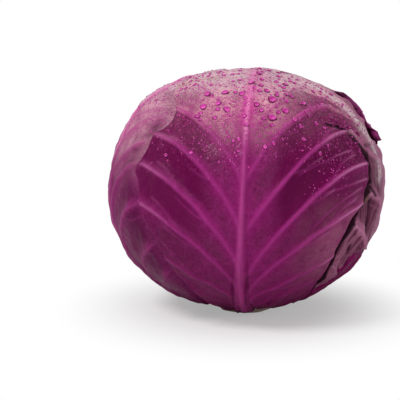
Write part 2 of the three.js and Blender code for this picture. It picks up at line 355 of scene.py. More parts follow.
def course(line, t):
    """The angle up the leaf at which a vein's line passes each angle across it, and its slope there."""
    slope = np.gradient(line[:, 0], line[:, 1])
    return np.interp(t, line[:, 1], line[:, 0]), np.interp(t, line[:, 1], slope)


def line_distance(points, s, t):
    """Distance in millimetres from a line of straight runs on a leaf, and the share of the line's points
    passed at the nearest place."""
    points = np.array(points, float)
    nearest, passed = np.full(s.shape, 1e9), np.zeros(s.shape)
    squeeze = np.cos(np.radians(t))
    for k, (start, end) in enumerate(zip(points, points[1:])):
        ds, dt = (s - start[0]) * squeeze, t - start[1]
        es, et = (end[0] - start[0]) * squeeze, end[1] - start[1]
        share = np.clip((ds * es + dt * et) / (es * es + et * et), 0.0, 1.0)
        apart = np.hypot(ds - share * es, dt - share * et)
        passed = np.where(apart < nearest, (k + share) / (len(points) - 1), passed)
        nearest = np.minimum(apart, nearest)
    return span(nearest), passed


def torn(leaf, s, t):
    """Distance in degrees from the roughened outline of the leaf's tear, negative where it is torn away."""
    if leaf["name"] not in TEARS:
        return np.full(s.shape, 99.0)
    roughness, outline = TEARS[leaf["name"]]
    outline = np.array(outline, float)
    within = np.zeros(s.shape, bool)
    for (s0, t0), (s1, t1) in zip(outline, np.roll(outline, -1, axis=0)):
        crosses = (s0 > s) != (s1 > s)
        within ^= crosses & (t < t0 + (s - s0) * (t1 - t0) / (s1 - s0 + 1e-9))
    closed = np.concatenate([outline, outline[:1]])
    apart = np.degrees(line_distance(closed, s, t)[0] / MEAN_RADIUS)
    spot = np.stack([s, t], -1)
    rough = roughness * (0.6 * waves(spot, 5.0, 610) + 0.4 * waves(spot, 2.2, 611))
    return np.where(within, -apart, apart) + rough * ease((6.0 - apart) / 3.0)


def plain_veins(leaf, side, seed):
    """Side veins of a leaf that needs no particular ones: evenly spaced up the midrib, each hugging it at
    first and then running out and up to the edge."""
    rng = np.random.default_rng(seed)
    veins = []
    for k in range(7):
        start = 27.0 + 15.0 * k + rng.uniform(-2.5, 2.5)
        rise = 24.0 + 26.0 * math.sin(math.pi * (k + 0.6) / 7.0) + rng.uniform(-3.0, 3.0)
        end = min(start + rise, leaf["tip"] - 6.0)
        rise = end - start
        reach = float(half_width(leaf, np.array(end), np.array(side))) * 0.98
        strength = 0.35 + 0.55 * math.sin(math.pi * (k + 1) / 8.0)
        line = ((start, 1.0), (start + 0.3 * rise, 0.1 * reach), (start + 0.56 * rise, 0.36 * reach),
                (start + 0.8 * rise, 0.7 * reach), (end, reach))
        veins.append((strength, 1.9 * strength, line))
    return veins


def fine_branches(veins, seed):
    """Two thinner veins that leave each side vein on its way out, one down and one up."""
    rng = np.random.default_rng(seed)
    found = []
    for strength, _, points in veins:
        line = smooth_line(points)
        for share, turn in ((rng.uniform(0.35, 0.5), -0.8), (rng.uniform(0.6, 0.75), 0.7)):
            k = int(share * (len(line) - 1))
            s0, t0 = line[k]
            slope = (line[k + 1][0] - s0) / (line[k + 1][1] - t0)
            length = rng.uniform(10.0, 17.0)
            bend = slope + turn * rng.uniform(0.7, 1.1)
            found.append((0.32 * strength, ((s0, t0), (s0 + 0.5 * length * bend, t0 + 0.5 * length),
                                            (s0 + length * (bend - 0.3 * turn), t0 + length))))
    return found


def leaf_veins(leaf, index):
    """The side veins and the thin branches on each side of a leaf's midrib."""
    if leaf["name"] == "front_leaf":
        veins = {-1: FRONT_LEFT_VEINS, 1: FRONT_RIGHT_VEINS}
    else:
        veins = {side: plain_veins(leaf, side, 40 + 7 * index + side) for side in (-1, 1)}
    thin = {side: fine_branches(veins[side], 90 + index + side) for side in veins}
    if leaf["name"] == "front_leaf":
        thin[1] = thin[1] + list(FRONT_RIGHT_BRANCHES)
    return {side: (veins[side], thin[side]) for side in veins}


def midrib(leaf, index, s):
    """How far across the leaf its midrib wanders at each angle up it."""
    if leaf["name"] == "front_leaf":
        return read_line(smooth_line(FRONT_MIDRIB), s)
    return 1.2 * np.sin(s * 0.045 + index) * ramp(s, 20.0, 60.0)


def side_relief(marks, s, across, here, veins, thin, soft):
    """Adds one half of a leaf to its marks. Between two side veins the leaf sinks along an arch that opens
    out from the midrib, so that each vein is a crest, and the fold between them is painted dark, partly
    the leaf's own deeper colour where its bloom thins and partly painted shade, from just over the lower
    vein to under the upper one. Each vein is a rounded ridge that narrows outwards, with a broad soft glow
    of colour round it and a painted highlight along its crest towards the edge."""
    courses = [course(smooth_line(vein[2]), across) for vein in veins]
    for (_, fold, _), (low, _), (high, _) in zip(veins, courses, courses[1:]):
        share = np.clip((s - low) / np.maximum(high - low, 0.5), 0.0, 1.0)
        opened = fold * ramp(across, 3.0, 29.0) * (1.0 - 0.55 * ramp(across, 42.0, 56.0)) * here
        marks["height"] -= opened * np.sin(np.pi * share**0.9)
        # Painted shade over the fold, on the leaf's own deeper colour there.
        dark = ease((share - 0.01) / soft) * ramp(share, 1.0, 0.87)
        if fold > 4.0:
            dark = dark * (1.0 - 0.3 * ramp(share, 0.22, 0.42))
        marks["fold"] += np.minimum(1.0, opened / 2.2) * dark
    lines = [(strength, smooth_line(points)) for strength, _, points in veins]
    lines += [(strength, smooth_line(points, 21, 3)) for strength, points in thin]
    squeeze = np.cos(np.radians(across))
    for strength, line in lines:
        level, slope = course(line, across)
        apart = span(np.abs(s - level)) * squeeze / np.sqrt(1.0 + (slope * squeeze) ** 2)
        run = (across - line[0, 1]) / (line[-1, 1] - line[0, 1])
        shown = ease((across - line[0, 1] + 1.5) / 3.0) * ramp(run, 1.06, 0.96) * here
        run = np.clip(run, 0.0, 1.0)
        breadth = (0.6 + 1.9 * strength) * (1.0 - 0.62 * run)
        ridge = (1.0 - 0.25 * run) / (1.0 + (apart / breadth) ** 2) ** 1.5
        marks["height"] += 1.4 * strength * shown * ridge
        core = (0.35 + 0.8 * strength) * (1.0 - 0.5 * run)
        # Painted highlight along each vein's crest, on its outer part.
        crest = strength * shown * ramp(run, 0.45, 0.95) * ramp(across, 26.0, 38.0)
        raise_mark(marks, "crest", crest * bell(apart, 0.65))
        raise_mark(marks, "vein", min(1.0, 0.25 + strength) * (0.75 + 0.25 * run) * shown * bell(apart, core))
        reach = (2.2 + 3.6 * strength) * (1.0 - 0.35 * run) * np.where(s > level, 0.62, 1.0)
        raise_mark(marks, "near", strength * shown * (1.0 - 0.35 * run) * bell(apart, reach))


def rib_relief(marks, leaf, index, s, t):
    """Adds the midrib: a rounded bar, broad and stranded where it leaves the stem and a thin line at the
    tip, with a groove along each side low down, and fine ribs that fan out from the stem. The grooves
    between the strands and between the fine ribs take painted shade."""
    up = np.clip((s - STEM_ANGLE) / leaf["tip"], 0.0, 1.0)
    off = span(t - midrib(leaf, index, s))
    breadth = 1.0 + 5.0 * (1.0 - up) ** 2.8
    bar = 1.0 / (1.0 + (np.abs(off) / breadth) ** 3.2)
    end = 1.0 - ease((s - leaf["tip"] + 16.0) / 14.0)
    grown = 0.25 + 0.75 * ramp(s, 16.0, 32.0)
    marks["height"] += (1.1 + 1.3 * (1.0 - up) ** 2.2) * bar * end * (1.0 if index == 0 else grown)
    low = ramp(s, 102.0, 78.0)
    marks["height"] -= 0.5 * low * bell(np.abs(off) - 1.25 * breadth, 0.9)
    strand = waves(np.stack([off / (0.5 + breadth / 6.0), 0.05 * s], -1), 2.4, 700 + index, 24)
    stranded = ease((2.6 * breadth - np.abs(off)) / breadth) * ramp(s, 95.0, 45.0)
    marks["height"] += 0.28 * strand * stranded
    # Painted shade in the grooves between the midrib's strands.
    marks["strand"] = ease((-strand - 0.2) / 1.4) * stranded
    fan = np.degrees(np.arctan2(t, s - 6.0))
    ribs = waves(np.stack([fan, 0.1 * s], -1), 7.5, 720 + index, 24)
    fanned = ramp(s, 15.0, 21.0) * ramp(s, 46.0, 26.0)
    marks["height"] += 0.42 * ribs * fanned
    # Painted shade in the grooves between the fine ribs.
    raise_mark(marks, "strand", ease((-ribs - 0.2) / 1.2) * fanned)
    marks["rib"] = bell(off, 0.65 + 3.4 * (1.0 - up) ** 2.8) * end
    wide = 5.0 + 4.5 * (1.0 - up) ** 2
    if index == 0:
        wide = wide + 3.5 * ramp(s, 135.0, 155.0) * (off > 0.0)
    raise_mark(marks, "near", (0.85 + 0.1 * (1.0 - up)) * bell(off, wide))


def crease_relief(marks, creases, s, t):
    """Adds creases and ridges, each a rounded line that fades at both ends, with painted shade in the
    creases and painted light along the ridges.
    """
    for height, breadth, points in creases:
        apart, passed = line_distance(points, s, t)
        taper = ease(passed / 0.15) * ease((1.0 - passed) / 0.15) * bell(apart, breadth)
        marks["height"] += height * taper
        # Deep creases take painted shade as gaps, shallow ones painted shade as folds, and ridges painted
        # light.
        if height < -0.8:
            raise_mark(marks, "gap", np.minimum(1.0, 1.7 * taper))
        elif height < 0.0:
            marks["fold"] += taper
        else:
            raise_mark(marks, "near", taper)


def strip_relief(marks, s, t):
    """Adds to the right leaf the fine wrinkles that run along its left part, where it comes out from under
    the front leaf, with painted light on their crests and painted shade between them."""
    here = ease((-t - 16.0) / 10.0) * ramp(s, 142.0, 122.0)
    wrinkles = waves(np.stack([t, 0.1 * s], -1), 2.4, 740, 24)
    marks["height"] += (0.3 * wrinkles + 0.4 * waves(np.stack([t, 0.25 * s], -1), 6.5, 741, 24)) * here
    # Painted light on the wrinkles' crests.
    raise_mark(marks, "near", 0.9 * ramp(wrinkles, 0.1, 1.4) * here)
    # Painted shade between the wrinkles.
    marks["fold"] += 0.5 * ease((-wrinkles - 0.3) / 1.3) * here


def relief(leaf, index, s, t):
    """How high the leaf stands out of its smooth surface, in millimetres, and marks from 0 to 1 for its
    veins, the glow round them, the painted highlight on their crests, its rib and the painted shade
    between the strands of that, the painted shade of its folds, on its own deeper colour there, and the
    painted shade of its gaps."""
    names = ("height", "vein", "near", "crest", "rib", "strand", "fold", "gap")
    marks = {mark: np.zeros(s.shape) for mark in names}
    for side, (veins, thin) in leaf_veins(leaf, index).items():
        across = np.maximum(side * t, 0.0)
        here = (side * t > 0.0).astype(float)
        soft = 0.11 if index == 0 and side > 0 else 0.3
        side_relief(marks, s, across, here, veins, thin, soft)
    rib_relief(marks, leaf, index, s, t)
    if leaf["name"] == "right_leaf":
        strip_relief(marks, s, t)
        crease_relief(marks, RIGHT_CREASES, s, t)
    if leaf["name"] == "front_leaf":
        crease_relief(marks, FRONT_CREASES, s, t)
        # Less of the painted highlight on the vein crests of the left half.
        marks["crest"] *= np.where(t < 0.0, 0.45, 1.0)
    return marks


def outline_wobble(leaf, index, s, v):
    """How much wider or narrower the leaf is at its edge than its plain outline, in degrees."""
    side = np.where(v < 0.0, -1.0, 1.0)
    along = np.stack([s, 40.0 * side], -1)
    uneven = 1.3 * waves(along, 34.0, 200 + index) + 0.6 * waves(along, 9.0, 210 + index)
    uneven += 0.25 * waves(along, 3.2, 220 + index)
    for name, own_side in OWN_EDGES:
        if name == leaf["name"]:
            uneven = np.where(own_side * v > 0.0, 0.3 * uneven, uneven)
    return leaf["ragged"] * uneven


# ---------------------------------------------------------------- meshes
def add_object(name, data):
    """A new object in the scene."""
    made = bpy.data.objects.new(name, data)
    bpy.context.scene.collection.objects.link(made)
    return made


def mesh_piece(name, points, faces, marks=None):
    """A smooth mesh from arrays: points in millimetres, faces as rows of corner numbers, and marks as named
    numbers on the points. Points that no face uses are left out."""
    used, corners = np.unique(faces, return_inverse=True)
    mesh = bpy.data.meshes.new(name)
    mesh.vertices.add(len(used))
    mesh.vertices.foreach_set("co", (points[used] * 0.001).astype(np.float32).ravel())
    mesh.loops.add(faces.size)
    mesh.loops.foreach_set("vertex_index", corners.astype(np.int32).ravel())
    mesh.polygons.add(len(faces))
    mesh.polygons.foreach_set("loop_start", np.arange(0, faces.size, faces.shape[1], dtype=np.int32))
    mesh.polygons.foreach_set("use_smooth", np.ones(len(faces), bool))
    mesh.update(calc_edges=True)
    for mark, values in (marks or {}).items():
        layer = mesh.attributes.new(mark, "FLOAT", "POINT")
        layer.data.foreach_set("value", np.asarray(values, np.float32).ravel()[used])
    return add_object(name, mesh)


def grid_faces(rows, columns, around=False):
    """Quads of a grid of rows by columns points, closed round its columns if around."""
    i = np.arange(rows - 1)[:, None] * columns
    j = np.arange(columns if around else columns - 1)[None, :]
    k = (j + 1) % columns
    return np.stack([i + j, i + k, i + columns + k, i + columns + j], -1).reshape(-1, 4)


def shell_faces(quads, count):
    """A closed shell: the outer quads, the same quads turned round on the inner points, which are numbered
    count later, and a rim along every edge that only one quad has."""
    starts, ends = quads.ravel(), np.roll(quads, -1, axis=1).ravel()
    single = ~np.isin(starts * count + ends, ends * count + starts)
    start, end = starts[single], ends[single]
    rim = np.stack([end, start, start + count, end + count], -1)
    return np.concatenate([quads, quads[:, ::-1] + count, rim])


def closed_round(rings):
    """A closed body from rings of points, the first at its foot and the last at its top, each end closed by
    a fan. Gives points and triangles that face out where the rings run anticlockwise from above."""
    rows, columns = rings.shape[:2]
    quads = grid_faces(rows, columns, around=True)
    foot, top = rows * columns, rows * columns + 1
    j = np.arange(columns)
    k = (j + 1) % columns
    last = (rows - 1) * columns
    faces = np.concatenate([
        quads[:, [0, 1, 2]],
        quads[:, [0, 2, 3]],
        np.stack([np.full(columns, foot), k, j], -1),
        np.stack([np.full(columns, top), last + j, last + k], -1),
    ])
    ends = np.stack([rings[0].mean(0), rings[-1].mean(0)])
    return np.concatenate([rings.reshape(-1, 3), ends]), faces


def largest_part(quads, count):
    """The quads of the largest connected part: each point takes the lowest number that reaches it."""
    label = np.arange(count)
    while True:
        spread = label.copy()
        np.minimum.at(spread, quads.ravel(), np.repeat(label[quads].min(axis=1), 4))
        spread = spread[spread]
        if np.array_equal(spread, label):
            break
        label = spread
    parts, sizes = np.unique(label[quads[:, 0]], return_counts=True)
    return quads[label[quads[:, 0]] == parts[np.argmax(sizes)]]


def trimmed(leaf, s, t, quads):
    """Drops the quads in the leaf's tears, and moves the points along each tear onto its edge. Gives the new
    s, t and the quads that are kept."""
    clear = torn(leaf, s, t)
    middle = torn(leaf, s.ravel()[quads].mean(1), t.ravel()[quads].mean(1))
    kept = middle > 0.0
    edge = np.intersect1d(quads[kept], quads[~kept])
    if len(edge):
        s, t = s.copy().ravel(), t.copy().ravel()
        step = 0.05
        for _ in range(2):
            here = torn(leaf, s[edge], t[edge])
            rise_s = (torn(leaf, s[edge] + step, t[edge]) - here) / step
            rise_t = (torn(leaf, s[edge], t[edge] + step) - here) / step
            move = np.clip(here, -1.2, 1.2) / np.maximum(rise_s**2 + rise_t**2, 0.5)
            s[edge] -= move * rise_s
            t[edge] -= move * rise_t
        s, t = s.reshape(clear.shape), t.reshape(clear.shape)
    return s, t, largest_part(quads[kept], s.size)


def uneven_steps(count, start, end, finer):
    """Places from start to end, of which the given share lies between two of them."""
    low, high, share = finer or (start, end, 1.0)
    before = (1.0 - share) * (low - start) / max(low - start + end - high, 1e-9)
    shares = (0.0, before, before + share, 1.0)
    return np.interp(np.linspace(0.0, 1.0, count), shares, (start, low, high, end))


def beside_front(leaf, s, v, half):
    """The right leaf's angles across it, with the lines of its grid led along the front leaf's edge, beside
    which its surface dips."""
    edge = smooth_line(OWN_EDGES["front_leaf", 1], 181, 4)
    level, side = leaf_coordinates(leaf, direction_at(LEAVES[0], edge[:, 0], edge[:, 1]))
    order = np.argsort(level)
    line = smooth_line(np.stack([level, side], -1)[order], 121, 12)
    shift = read_line(line, s) + SEAM * half
    shift = np.clip(shift, -7.0, 7.0) * ramp(s, 34.0, 46.0) * ramp(s, 138.0, 122.0)
    return v * half + shift * np.where(v < -SEAM, ease((v + 1.0) / (1.0 - SEAM)), ease(-v / SEAM))


def edge_curl(leaf, index, s, t, v, from_side, from_tip):
    """How far the leaf's side and tip edges curl out of its surface, in millimetres, in uneven lobes."""
    left, right, tip = leaf["flare"]
    lobes = 0.75 + 0.45 * waves(np.stack([s, 40.0 * np.sign(v)], -1), 26.0, 400 + index)
    curl = np.where(v < 0.0, left, right) * ramp(s, 40.0, 80.0) * lobes
    if leaf["name"] == "back_right_leaf":
        curl = np.where(v < 0.0, read_line(smooth_line(LIFTED_EDGE, 401, 5), s), curl)
    lobes = 0.75 + 0.4 * waves(np.stack([t, 0.0 * t], -1), 20.0, 410 + index)
    return curl * np.exp(-from_side / 4.0) + tip * lobes * np.exp(-from_tip / 4.0)


def finish_marks(leaf, marks, s, t, outer, inside, dip_shade):
    """Adds to a leaf's marks those that its place on the head gives: bloom and wax towards the crown, its
    edge, painted shade in the gaps where it dips under others, and its lines of wax and of olive stain."""
    height = outer[..., 2]
    low, high = leaf["bloom"]
    marks["bloom"] = ramp(height, low, high)
    if leaf["name"] == "front_leaf":
        lower_right = ramp(t, 14.0, 38.0) * ramp(s, 100.0, 84.0) * ramp(s, 32.0, 62.0)
        raise_mark(marks, "bloom", 0.28 * lower_right)
    marks["edge"] = np.clip(inside / 12.0, 0.0, 1.0)
    # No painted shade in the gaps high up, away from the front face.
    no_gap_shade = ramp(height, 104.0, 112.0) * ramp(outer[..., 1], -22.0, -14.0)
    marks["gap"] = np.maximum(marks["gap"], dip_shade) * (1.0 - no_gap_shade)
    for mark, lines, breadth in (("wax", WAX_LINES, 4.2), ("olive", OLIVE_LINES, 2.6)):
        marks[mark] = np.zeros(s.shape)
        if leaf["name"] in lines:
            marks[mark] = bell(line_distance(lines[leaf["name"]], s, t)[0], breadth)
    raise_mark(marks, "wax", 0.72 * ramp(height, 138.0, 155.0))


def leaf_surface(index):
    """The leaf's outer and inner points, its quads, its marks and each point's place on the leaf. The leaf
    follows the head, sinks under the leaves outside it, and carries its own relief where it is bare."""
    leaf = LEAVES[index]
    rows, columns = leaf["grid"]
    u, v = np.meshgrid(uneven_steps(rows, 0.0, 1.0, leaf.get("finer_up")),
                       uneven_steps(columns, -1.0, 1.0, leaf.get("finer")), indexing="ij")
    start, end = base_edge(v), tip_edge(leaf, v)
    s = start + u * (end - start)
    half = half_width(leaf, s, v)
    wobble = outline_wobble(leaf, index, s, v) * ramp(s, 22.0, 48.0)
    flat = beside_front(leaf, s, v, half) if leaf["name"] == "right_leaf" else v * half
    t = flat + v * wobble * np.abs(v) ** 5
    tip_wobble = 1.2 * leaf["ragged"] * waves(np.stack([t, 0.0 * t], -1), 18.0, 300 + index)
    s, t, quads = trimmed(leaf, s + tip_wobble * u**8, t, grid_faces(rows, columns))
    marks = relief(leaf, index, s, t)
    d = direction_at(leaf, s, t)
    depth, bare, front_shade = sunk(index, d)
    from_side = span(half * (1.0 - np.abs(v)))
    from_tip = span((end - start) * (1.0 - u))
    inside = np.minimum(np.minimum(from_side, from_tip), span(np.maximum(torn(leaf, s, t), 0.0)))
    spot = d * MEAN_RADIUS
    pucker = 0.3 * waves(spot, 19.0, 500 + index) + 0.12 * waves(spot, 7.0, 510 + index)
    curl = edge_curl(leaf, index, s, t, v, from_side, from_tip)
    radius = head_radius(d) - depth + bare * (marks.pop("height") + curl + pucker)
    thickness = EDGE_THICKNESS + (LEAF_THICKNESS - EDGE_THICKNESS) * ease(inside / 6.0)
    outer = MIDDLE + d * radius[..., None]
    outer[..., 2] = np.maximum(outer[..., 2], 0.2)
    inner = MIDDLE + d * (radius - thickness)[..., None]
    shown = {mark: 1.0 if mark == "gap" else bare for mark in marks}
    marks = {mark: np.clip(values, 0.0, 1.0) * shown[mark] for mark, values in marks.items()}
    # Painted shade where the leaf dips deep under the leaves above it.
    dip_shade = front_shade if leaf["name"] == "right_leaf" else ease((depth - leaf["press"][3]) / 1.4)
    finish_marks(leaf, marks, s, t, outer, inside, dip_shade)
    return dict(outer=outer, inner=inner, quads=quads, marks=marks, bare=bare, s=s, t=t)


def stand_for(piece, node):
    """The piece rides on the one body and takes the place of a solid, which it hides."""
    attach(piece, "root")
    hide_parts(node)


def leaf_piece(index):
    """One leaf as a thin closed shell."""
    leaf = LEAVES[index]
    made = leaf_surface(index)
    both = {mark: np.tile(values.ravel(), 2) for mark, values in made["marks"].items()}
    both["inward"] = np.repeat([0.0, 1.0], made["s"].size)
    points = np.concatenate([made["outer"].reshape(-1, 3), made["inner"].reshape(-1, 3)])
    piece = mesh_piece(leaf["name"] + "_skin", points, shell_faces(made["quads"], made["s"].size), both)
    stand_for(piece, leaf["name"])
    return piece, made


def inner_head_piece():
    """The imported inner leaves: a closed ball one layer under every outer leaf, with the shallow spiral folds
    of the leaves that meet at its crown."""
    rows, columns = 90, 120
    polar = np.radians(np.linspace(0.6, 179.4, rows))[:, None]
    turn = np.linspace(0.0, 2.0 * np.pi, columns, endpoint=False)[None, :]
    flat = np.ones_like(polar) * np.ones_like(turn)
    d = np.stack([np.sin(polar) * np.cos(turn), np.sin(polar) * np.sin(turn), -np.cos(polar) * flat], -1)
    depth, _, _ = sunk(len(LEAVES), d)
    spiral = np.cos(3.0 * turn + 4.0 * polar) * ramp(polar, 2.3, 2.9)
    radius = head_radius(d) - depth - 1.2 + 0.4 * spiral
    points, faces = closed_round(MIDDLE + d * radius[..., None])
    plain = ("vein", "near", "crest", "rib", "strand", "fold", "gap", "bloom", "wax", "olive", "inward")
    marks = {mark: np.zeros(len(points)) for mark in plain}
    marks["edge"] = np.ones(len(points))
    piece = mesh_piece("inner_head_skin", points, faces, marks)
    stand_for(piece, "inner_head")
    return piece


def stem_piece():
    """The cut stem: a cone of stalk that narrows upwards, a little lobed where the leaves grew from it, with
    a flat cut face and a soft edge."""
    turn = np.linspace(0.0, 2.0 * np.pi, 72, endpoint=False)
    lobes = 0.35 * np.cos(5.0 * turn + 0.6) + 0.25 * np.cos(8.0 * turn + 2.0)
    slope = math.tan(math.radians(STEM_ANGLE))
    face = np.array([0.02, 0.3, 0.6, 0.85, 0.95]) * (MIDDLE[2] * slope - 1.2)
    height = np.array([0.15, 0.5, 1.0, 2.0, 6.0, 14.0, 24.0, 30.0])
    bark = (MIDDLE[2] - height) * slope - 0.5 - 0.9 * np.maximum(0.0, 1.0 - height) ** 2
    reach = np.concatenate([face, bark, [3.0]])[:, None]
    level = np.concatenate([0.0 * face, height, [30.0]])[:, None]
    spread = np.maximum(reach - 0.6 + lobes * np.clip(reach / 15.0, 0.0, 1.0), 0.2)
    points, faces = closed_round(np.stack([
        spread * np.cos(turn), spread * np.sin(turn), level * np.ones_like(turn)], -1))
    piece = mesh_piece("cut_stem_flesh", points, faces)
    stand_for(piece, "cut_stem")
    return piece


# ---------------------------------------------------------------- water drops
def drop_sites(made, chance, wanted, sizes, seed, taken):
    """Random places for drops, more of them where chance is high, each clear of those taken before. Gives
    rows of grid number and radius."""
    rng = np.random.default_rng(seed)
    outer = made["outer"]
    points = outer.reshape(-1, 3)
    area = np.linalg.norm(np.cross(np.gradient(outer, axis=0), np.gradient(outer, axis=1)), axis=-1)
    weight = (area * chance).ravel()
    tries = rng.choice(weight.size, wanted * 4, p=weight / weight.sum())
    radii = sizes[0] + (sizes[1] - sizes[0]) * rng.uniform(size=len(tries)) ** 2
    found = []
    for site, radius in zip(tries, radii):
        if len(found) == wanted:
            break
        others = np.array(taken)
        if np.any(np.linalg.norm(others[:, :3] - points[site], axis=1) < 1.12 * (radius + others[:, 3])):
            continue
        taken.append((*points[site], radius))
        found.append((site, radius))
    return np.array(found)


def drop_shape(rings, sides):
    """A drop of unit radius: a flattened dome with a narrow skirt, on a smaller foot that sinks into the
    leaf."""
    lean = np.linspace(1.0, 0.08, rings) * np.pi / 2.0
    turn = np.linspace(0.0, 2.0 * np.pi, sides, endpoint=False)
    reach = np.concatenate([[0.84, 1.1], 0.97 * np.sin(lean)])[:, None]
    level = np.concatenate([[-0.2, 0.03], 0.06 + 0.5 * np.cos(lean)])[:, None]
    return closed_round(np.stack([reach * np.cos(turn), reach * np.sin(turn), level * np.ones(sides)], -1))


def drops_piece(name, made, sites, rings, sides, seed):
    """All drops of one kind on one leaf, as one mesh. Each is the unit drop, scaled, a little uneven, set on
    the leaf along its normal and sagging downhill."""
    rng = np.random.default_rng(seed)
    shape, faces = drop_shape(rings, sides)
    number = sites[:, 0].astype(int)
    radius = sites[:, 1][:, None]
    outer = made["outer"]
    across, up = np.gradient(outer, axis=1), np.gradient(outer, axis=0)
    normal = unit(np.cross(across, up)).reshape(-1, 3)[number]
    uphill = unit(np.array([0.0, 1e-4, 1.0]) - normal * normal[:, 2:3])
    side = np.cross(uphill, normal)
    stretch = rng.uniform(0.86, 1.14, (len(sites), 1))
    lobe = 1.0 + 0.07 * np.cos(3.0 * np.arctan2(shape[None, :, 1], shape[None, :, 0])
                               + rng.uniform(0.0, 6.3, (len(sites), 1)))
    x = shape[None, :, 0] * radius * lobe / stretch
    z = shape[None, :, 2] * radius
    sag = 0.25 * (1.0 - np.abs(normal[:, 2:3]))
    y = shape[None, :, 1] * radius * lobe * stretch - sag * z
    centre = outer.reshape(-1, 3)[number][:, None, :]
    points = centre + x[..., None] * side[:, None] + y[..., None] * uphill[:, None]
    points = points + z[..., None] * normal[:, None]
    count = len(shape)
    all_faces = (faces[None] + count * np.arange(len(sites))[:, None, None]).reshape(-1, 3)
    full = (len(sites), count)
    # low grows downhill and to the right, away from the light, where the painted light gathers; top marks the
    # uphill side for the painted highlight; rim is the distance out, for the painted shadow round the foot and
    # skirt; tone is a random colour for each drop.
    marks = dict(
        low=0.5 - 0.5 * (0.83 * shape[:, 1] - 0.55 * shape[:, 0]),
        top=np.clip(shape[:, 1] - 0.2 * shape[:, 0], 0.0, 1.0),
        rim=np.linalg.norm(shape[:, :2], axis=1),
        tone=rng.uniform(0.0, 1.0, (len(sites), 1)),
    )
    marks = {mark: np.broadcast_to(values, full) for mark, values in marks.items()}
    piece = mesh_piece(name, points.reshape(-1, 3), all_faces, marks)
    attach(piece, "root")
    return piece


def rain(surfaces):
    """Drops on the upper part of the front leaf, from large to small, and a few on the leaves beside it.
    Each kind's chance says where on its leaf it gathers."""
    front, right, left = (surfaces[name] for name in ("front_leaf", "right_leaf", "left_leaf"))
    height, folds = front["outer"][..., 2], front["marks"]["fold"]
    crown = bell(front["s"] - 143.0, 13.0) * bell(front["t"] - 9.0, 17.0)
    wet = (1.0 - 0.6 * folds) * ramp(height, 96.0, 130.0) * ramp(front["marks"]["edge"], 0.05, 0.2)
    in_folds = 0.45 * folds * ramp(height, 78.0, 94.0) * ramp(front["t"], 22.0, 38.0)
    strip = ramp(right["outer"][..., 2], 92.0, 122.0) * ramp(right["t"], -8.0, -18.0)
    damp = ramp(left["outer"][..., 2], 112.0, 138.0) * left["bare"]
    kinds = (  # leaf, chance, how many, least and largest radius, and each dome's rings and sides
        ("large_drops", "front_leaf", crown, 31, (1.4, 2.9), 6, 20),
        ("middling_drops", "front_leaf", wet**1.5, 190, (0.7, 1.7), 4, 11),
        ("small_drops", "front_leaf", wet + in_folds, 1500, (0.26, 0.66), 2, 6),
        ("right_leaf_drops", "right_leaf", strip, 120, (0.3, 0.8), 2, 6),
        ("left_leaf_drops", "left_leaf", damp, 260, (0.35, 1.0), 2, 6),
    )
    taken = {slot: [(0.0, 0.0, 0.0, 0.0)] for slot in surfaces}
    drops = []
    for k, (name, slot, chance, wanted, sizes, rings, sides) in enumerate(kinds):
        sites = drop_sites(surfaces[slot], chance + 1e-9, wanted, sizes, 11 + k, taken[slot])
        drops.append(drops_piece(name, surfaces[slot], sites, rings, sides, 21 + k))
    return drops


# ---------------------------------------------------------------- finishes
def srgb(red, green, blue):
    """A colour as it looks on a screen, 0 to 255, as the linear colour that a shader takes."""
    parts = [c / 255.0 for c in (red, green, blue)]
    return tuple(c / 12.92 if c <= 0.04045 else ((c + 0.055) / 1.055) ** 2.4 for c in parts) + (1.0,)


class Wire:
    """One output in a material. Arithmetic on it adds Math nodes."""

    def __init__(self, finish, socket):
        self.finish = finish
        self.socket = socket

    def math(self, operation, first, second):
        return self.finish.node("ShaderNodeMath", {"operation": operation}, {0: first, 1: second})

    def __add__(self, other):
        return self.math("ADD", self, other)

    def __radd__(self, other):
        return self.math("ADD", other, self)

    def __sub__(self, other):
        return self.math("SUBTRACT", self, other)

    def __rsub__(self, other):
        return self.math("SUBTRACT", other, self)

    def __mul__(self, other):
        return self.math("MULTIPLY", self, other)

    def __rmul__(self, other):
        return self.math("MULTIPLY", other, self)


class Nodes:
    """A node tree whose nodes are added by type, settings and socket values or links."""

    def __init__(self, tree):
        self.tree = tree

    def node(self, kind, settings=None, sockets=None, output=0):
        made = self.tree.nodes.new(kind)
        for setting, value in (settings or {}).items():
            setattr(made, setting, value)
        for socket, value in (sockets or {}).items():
            if isinstance(value, Wire):
                self.tree.links.new(value.socket, made.inputs[socket])
            else:
                made.inputs[socket].default_value = value
        return Wire(self, made.outputs[output])

    def feed(self, node, socket, wire):
        self.tree.links.new(wire.socket, self.tree.nodes[node].inputs[socket])


